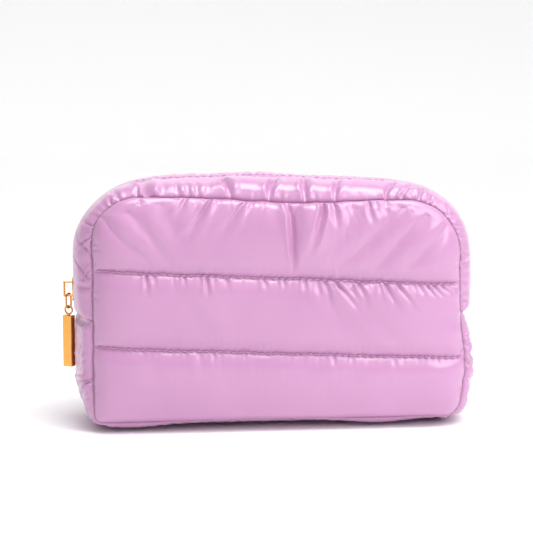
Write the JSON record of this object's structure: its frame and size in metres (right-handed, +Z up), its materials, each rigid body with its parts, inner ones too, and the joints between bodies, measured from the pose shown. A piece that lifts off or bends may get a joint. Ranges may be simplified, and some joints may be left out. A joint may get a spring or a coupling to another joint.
{
  "type": "makeup bag",
  "caption": "Quilted padded pouch with a zip over the top and part way down both ends, and a square bar pull on an oval link.",
  "frame": {"origin": "middle of the base, on the surface the bag stands on", "axes": "+Z up, -Y towards the front panel, +X to the right along the bag's length; the slider is at the -X end"},
  "size_m": [0.2396, 0.076, 0.1442],
  "materials": {
    "shell": "glossy coated puffer fabric with a pearl sheen",
    "lining": "plain woven, matt",
    "wadding": "loose polyester wadding",
    "binding": "woven tape",
    "zip_tape": "woven tape, matt",
    "zip_coil": "satin",
    "hardware": "polished, light gold plating"
  },
  "bodies": {
    "base": {"front_shell_lower": "shell", "back_shell_lower": "shell", "base_gusset_shell": "shell", "zip_end_shells": "shell", "front_wadding_middle": "wadding", "front_wadding_lower": "wadding", "back_wadding_middle": "wadding", "back_wadding_lower": "wadding", "base_gusset_wadding": "wadding", "zip_end_waddings": "wadding", "front_lining_lower": "lining", "back_lining_lower": "lining", "base_gusset_lining": "lining", "zip_end_linings": "lining", "front_binding_lower": "binding", "back_binding_lower": "binding", "zip_end_tapes": "zip_tape", "zip_end_coils": "zip_coil", "zip_top_stops": "hardware", "zip_bottom_stop": "hardware"},
    "front_mouth": {"front_shell_upper": "shell", "front_wadding_upper": "wadding", "front_lining_upper": "lining", "front_binding_upper": "binding", "front_gusset_shell": "shell", "front_gusset_wadding": "wadding", "front_gusset_lining": "lining", "front_zip_tape": "zip_tape", "front_zip_coil": "zip_coil"},
    "back_mouth": {"back_shell_upper": "shell", "back_wadding_upper": "wadding", "back_lining_upper": "lining", "back_binding_upper": "binding", "back_gusset_shell": "shell", "back_gusset_wadding": "wadding", "back_gusset_lining": "lining", "back_zip_tape": "zip_tape", "back_zip_coil": "zip_coil"},
    "slider": {"zip_slider": "hardware", "slider_bridge": "hardware"},
    "link": {"pull_link": "hardware"},
    "pull": {"pull_eyelet": "hardware", "pull_bar": "hardware"}
  },
  "joints": [
    {"name": "front_mouth_fold", "type": "hinge", "parent": "base", "child": "front_mouth", "pos_m": [0, -0.03, 0.088], "axis": [1, 0, 0], "range_deg": [0, 35]},
    {"name": "back_mouth_fold", "type": "hinge", "parent": "base", "child": "back_mouth", "pos_m": [0, 0.03, 0.088], "axis": [-1, 0, 0], "range_deg": [0, 35]},
    {"name": "slider_run", "type": "slide", "parent": "base", "child": "slider", "axis": [0, 0, 1], "range_m": [0, 0.019]},
    {"name": "link_swing", "type": "hinge", "parent": "slider", "child": "link", "pos_m": [-0.1199, 0, 0.0754], "axis": [1, 0, 0], "range_deg": [-45, 45]},
    {"name": "pull_swing", "type": "hinge", "parent": "link", "child": "pull", "pos_m": [-0.1199, 0, 0.0682], "axis": [0.7071, 0.7071, 0], "range_deg": [0, 100]}
  ]
}
